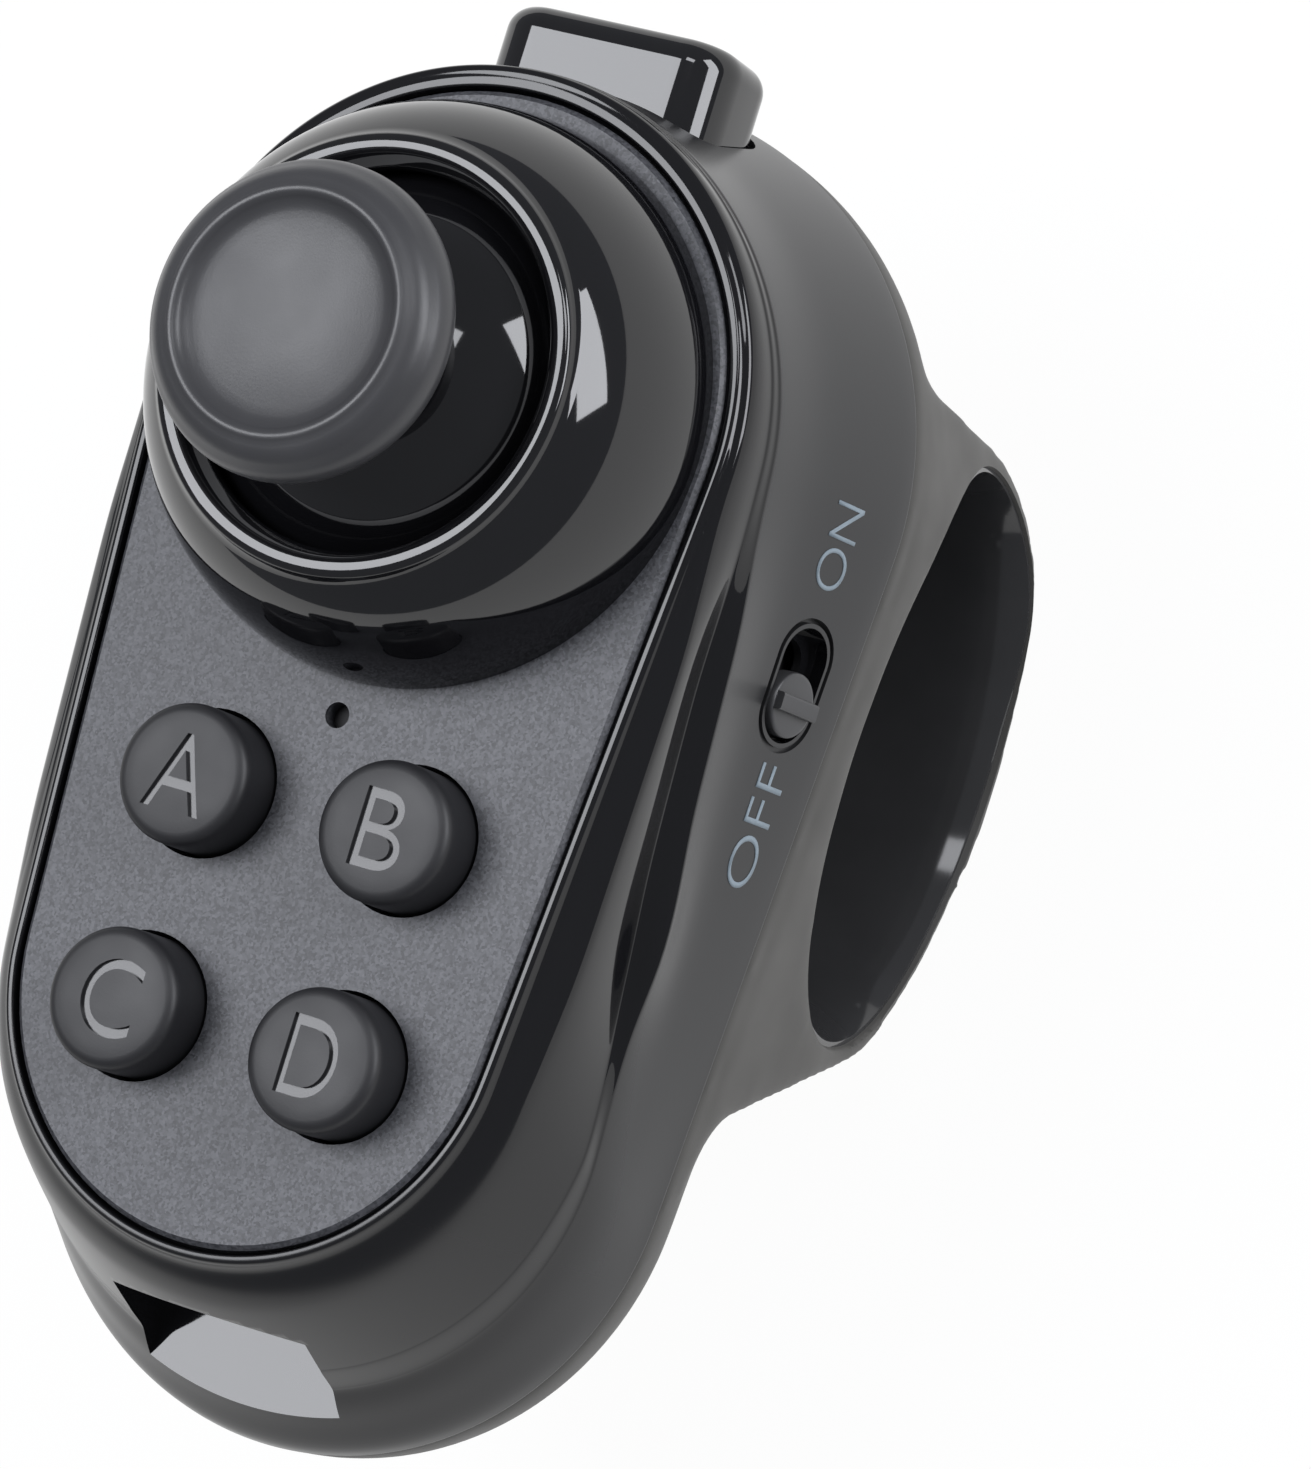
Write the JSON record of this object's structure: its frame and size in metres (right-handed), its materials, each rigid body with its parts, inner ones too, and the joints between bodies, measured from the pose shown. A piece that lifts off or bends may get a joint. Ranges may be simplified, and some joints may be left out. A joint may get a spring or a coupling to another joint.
{
  "type": "finger-worn mini gamepad",
  "caption": "Small gamepad worn on a finger: a domed thumb stick, round lettered keys, an end trigger, a sliding power switch and a broad oval finger ring under an egg-shaped body.",
  "frame": {"origin": "centre of the finger bore, halfway along it", "axes": "+X along the finger bore towards the power switch side, +Y along the body towards the trigger, +Z out of the face plate with the stick and keys"},
  "size_m": [0.039, 0.0734, 0.0592],
  "materials": {
    "gloss_black": "polished black plastic",
    "satin_black": "fine satin black",
    "metallic_grey": "dark grey with a fine metallic spark",
    "warm_grey": "matte soft touch",
    "key_black": "matte",
    "cap_rubber": "matte soft touch",
    "knob_grey": "satin",
    "steel": "plain steel",
    "board_green": "circuit board",
    "chip_black": "moulded package",
    "inner_black": "moulded",
    "light_clear": "clear light guide",
    "foil_silver": "pouch cell foil",
    "foam": "foam pad"
  },
  "bodies": {
    "housing": {"front_housing": "gloss_black", "face_plate": "metallic_grey", "stick_collar": "gloss_black", "rear_cover": "warm_grey", "ring_liner": "gloss_black", "light_pipe": "light_clear", "main_pcb": "board_green", "status_led": "light_clear", "processor_chip": "chip_black", "radio_module": "steel", "stick_frame": "steel", "stick_pot_x": "inner_black", "stick_pot_y": "inner_black", "stick_spring": "steel", "trigger_switch": "inner_black", "trigger_board": "board_green", "switch_body": "inner_black", "usb_port": "steel", "battery": "foil_silver", "battery_pad": "foam", "housing_screws": "steel", "key_switch_a": "inner_black", "key_switch_b": "inner_black", "key_switch_c": "inner_black", "key_switch_d": "inner_black"},
    "gimbal": {"gimbal_ring": "inner_black"},
    "arch": {"rocker_arch": "inner_black"},
    "stick": {"stick_shaft": "steel", "stick_dome": "gloss_black", "stick_cap": "cap_rubber"},
    "trigger": {"trigger_button": "gloss_black", "trigger_plunger": "inner_black"},
    "power_knob": {"switch_knob": "knob_grey"},
    "key_a": {"button_a": "key_black", "key_plunger_a": "inner_black"},
    "key_b": {"button_b": "key_black", "key_plunger_b": "inner_black"},
    "key_c": {"button_c": "key_black", "key_plunger_c": "inner_black"},
    "key_d": {"button_d": "key_black", "key_plunger_d": "inner_black"}
  },
  "joints": [
    {"name": "stick_tilt_x", "type": "hinge", "parent": "housing", "child": "gimbal", "pos_m": [0, 0.0085, 0.0284], "axis": [1, 0, 0], "range_deg": [-13, 13], "stiffness_Nm_per_rad": 0.02},
    {"name": "stick_tilt_y", "type": "hinge", "parent": "gimbal", "child": "stick", "pos_m": [0, 0.0085, 0.0284], "axis": [0, 1, 0], "range_deg": [-13, 13], "stiffness_Nm_per_rad": 0.02},
    {"name": "arch_tilt", "type": "hinge", "parent": "housing", "child": "arch", "pos_m": [0, 0.0085, 0.0284], "axis": [0, 1, 0], "range_deg": [-13, 13]},
    {"name": "key_a_press", "type": "slide", "parent": "housing", "child": "key_a", "axis": [0, 0, -1], "range_m": [0, 0.0008], "stiffness_N_per_m": 400, "springref_m": -0.001},
    {"name": "key_b_press", "type": "slide", "parent": "housing", "child": "key_b", "axis": [0, 0, -1], "range_m": [0, 0.0008], "stiffness_N_per_m": 400, "springref_m": -0.001},
    {"name": "key_c_press", "type": "slide", "parent": "housing", "child": "key_c", "axis": [0, 0, -1], "range_m": [0, 0.0008], "stiffness_N_per_m": 400, "springref_m": -0.001},
    {"name": "key_d_press", "type": "slide", "parent": "housing", "child": "key_d", "axis": [0, 0, -1], "range_m": [0, 0.0008], "stiffness_N_per_m": 400, "springref_m": -0.001},
    {"name": "trigger_press", "type": "slide", "parent": "housing", "child": "trigger", "axis": [0, -1, 0], "range_m": [0, 0.001], "stiffness_N_per_m": 400, "springref_m": -0.001},
    {"name": "power_slide", "type": "slide", "parent": "housing", "child": "power_knob", "axis": [0, 1, 0], "range_m": [0, 0.002]}
  ],
  "couplings": [
    {"joint": "arch_tilt", "follows": "stick_tilt_y", "ratio": 1}
  ]
}
